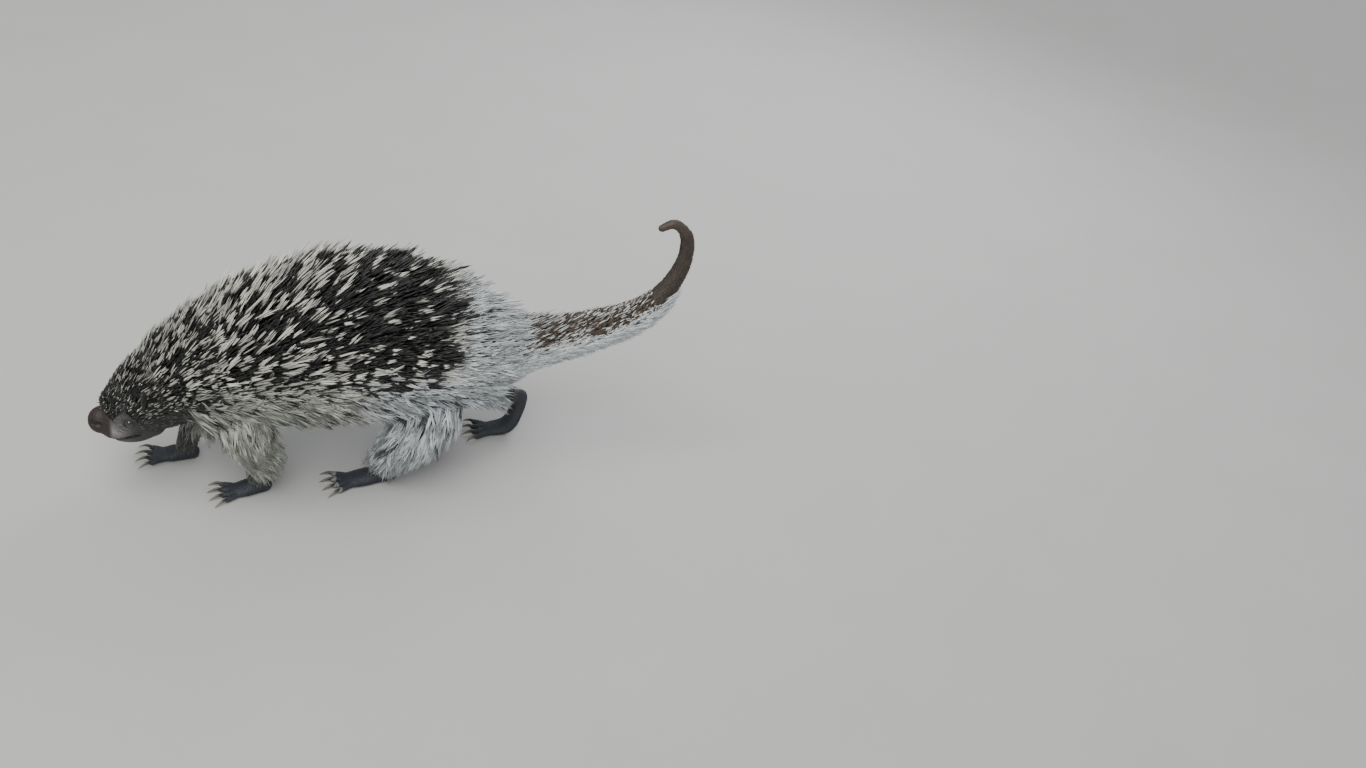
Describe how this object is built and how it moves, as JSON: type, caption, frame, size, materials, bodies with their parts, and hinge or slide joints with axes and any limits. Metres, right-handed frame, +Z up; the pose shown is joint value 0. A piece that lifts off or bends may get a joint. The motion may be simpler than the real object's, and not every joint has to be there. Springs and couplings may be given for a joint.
{
  "type": "prehensile-tailed porcupine",
  "caption": "Life-size still model of a prehensile-tailed porcupine walking, quills laid back, tail raised behind with its bare tip curled.",
  "frame": {"origin": "on the floor, at the middle of the box of the whole animal", "axes": "+Z up, the head towards -X, the tail towards +X, the animal's left side towards -Y"},
  "size_m": [0.7479, 0.2138, 0.3549],
  "materials": {
    "coat": "dark quills with pale tips",
    "skin": "bare and short-haired skin",
    "eye": "wet gloss",
    "claw": "satin horn"
  },
  "bodies": {
    "root": {"nose": "skin", "head": "coat", "eye_left": "eye", "eye_right": "eye", "ear_left": "skin", "ear_right": "skin", "neck": "coat", "torso": "coat", "tail_base": "coat", "tail_middle": "coat", "tail_tip": "skin", "foreleg_left": "coat", "foreleg_right": "coat", "thigh_left": "coat", "shin_left": "coat", "thigh_right": "coat", "shin_right": "coat", "forefoot_left": "skin", "forefoot_right": "skin", "hindfoot_left": "skin", "hindfoot_right": "skin", "claw_forefoot_left_1": "claw", "claw_forefoot_left_2": "claw", "claw_forefoot_left_3": "claw", "claw_forefoot_left_4": "claw", "claw_forefoot_right_1": "claw", "claw_forefoot_right_2": "claw", "claw_forefoot_right_3": "claw", "claw_forefoot_right_4": "claw", "claw_hindfoot_left_1": "claw", "claw_hindfoot_left_2": "claw", "claw_hindfoot_left_3": "claw", "claw_hindfoot_left_4": "claw", "claw_hindfoot_right_1": "claw", "claw_hindfoot_right_2": "claw", "claw_hindfoot_right_3": "claw", "claw_hindfoot_right_4": "claw"}
  },
  "joints": []
}
